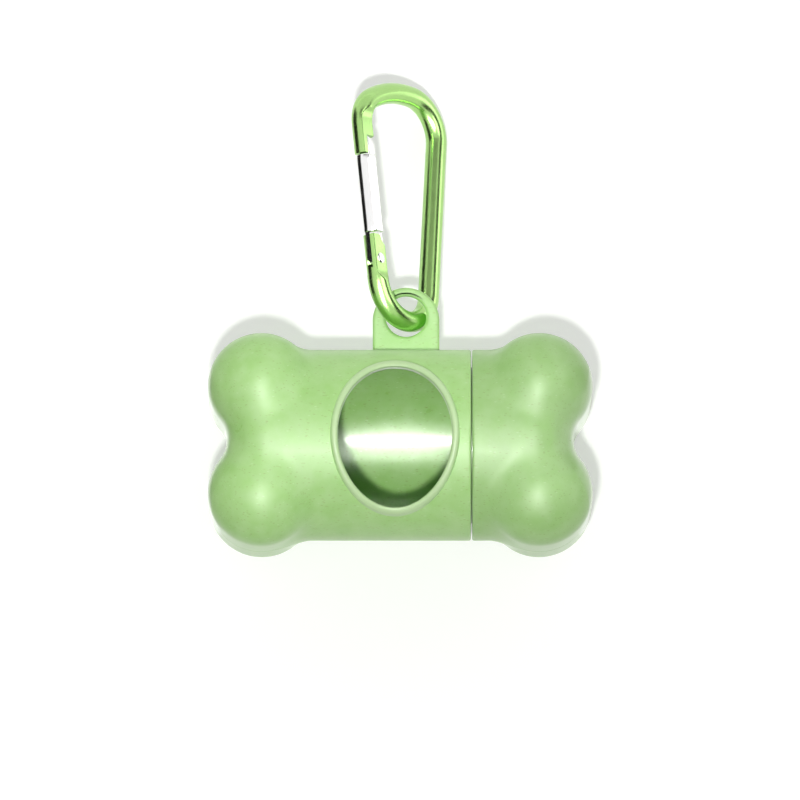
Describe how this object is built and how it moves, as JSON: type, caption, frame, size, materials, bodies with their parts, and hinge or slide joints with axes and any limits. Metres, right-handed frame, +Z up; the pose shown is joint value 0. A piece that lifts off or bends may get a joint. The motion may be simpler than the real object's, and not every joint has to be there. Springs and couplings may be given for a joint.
{
  "type": "poop bag dispenser",
  "caption": "Hollow bone-shaped holder for a roll of dog poop bags, with an oval window, a screw-off lobed end, a tab with a hole and a green spring-gate carabiner",
  "frame": {"origin": "on the roll's axis, halfway along the bone", "axes": "X along the bone with the screw cap at +X; Y towards the tab and the carabiner; Z up out of the window, so the part lies on its back"},
  "size_m": [0.08, 0.0999, 0.0413],
  "materials": {
    "flecked_green": "semi-gloss, moulded, fine darker flecks",
    "plain_green": "semi-gloss, moulded",
    "green_anodised": "bright green anodised",
    "polished_alloy": "polished",
    "spring_steel": "drawn wire"
  },
  "bodies": {
    "body": {"body_front_shell": "flecked_green", "body_rear_shell": "flecked_green", "body_neck": "plain_green"},
    "cap_slider": {"cap_disc": "plain_green"},
    "cap": {"cap_front_shell": "flecked_green", "cap_rear_shell": "flecked_green", "cap_liner": "plain_green"},
    "clip": {"carabiner_frame": "green_anodised", "gate_rivet": "polished_alloy", "gate_spring": "spring_steel"},
    "gate": {"gate": "polished_alloy"},
    "plunger": {"gate_plunger": "spring_steel"}
  },
  "joints": [
    {"name": "cap_travel", "type": "slide", "parent": "body", "child": "cap_slider", "axis": [1, 0, 0], "range_m": [0, 0.012]},
    {"name": "cap_turn", "type": "hinge", "parent": "cap_slider", "child": "cap", "pos_m": [0.02, 0, 0], "axis": [1, 0, 0], "range_deg": [0, 720]},
    {"name": "carabiner_swing", "type": "hinge", "parent": "body", "child": "clip", "pos_m": [0.0012, 0.027, 0], "axis": [0, 0, 1], "range_deg": [-40, 40]},
    {"name": "gate_open", "type": "hinge", "parent": "clip", "child": "gate", "pos_m": [-0.00504, 0.03836, 0.00531], "axis": [-0.7604, -0.1659, -0.6279], "range_deg": [0, 32], "stiffness_Nm_per_rad": 0.02, "springref_deg": -34.38},
    {"name": "plunger_travel", "type": "slide", "parent": "clip", "child": "plunger", "axis": [0.0994, -0.9852, 0.14], "range_m": [0, 0.0005], "deforming": ["gate_spring"]}
  ],
  "couplings": [
    {"joint": "cap_travel", "follows": "cap_turn", "m_per_rad": 0.00095493},
    {"joint": "plunger_travel", "follows": "gate_open", "m_per_rad": 0.00082}
  ]
}
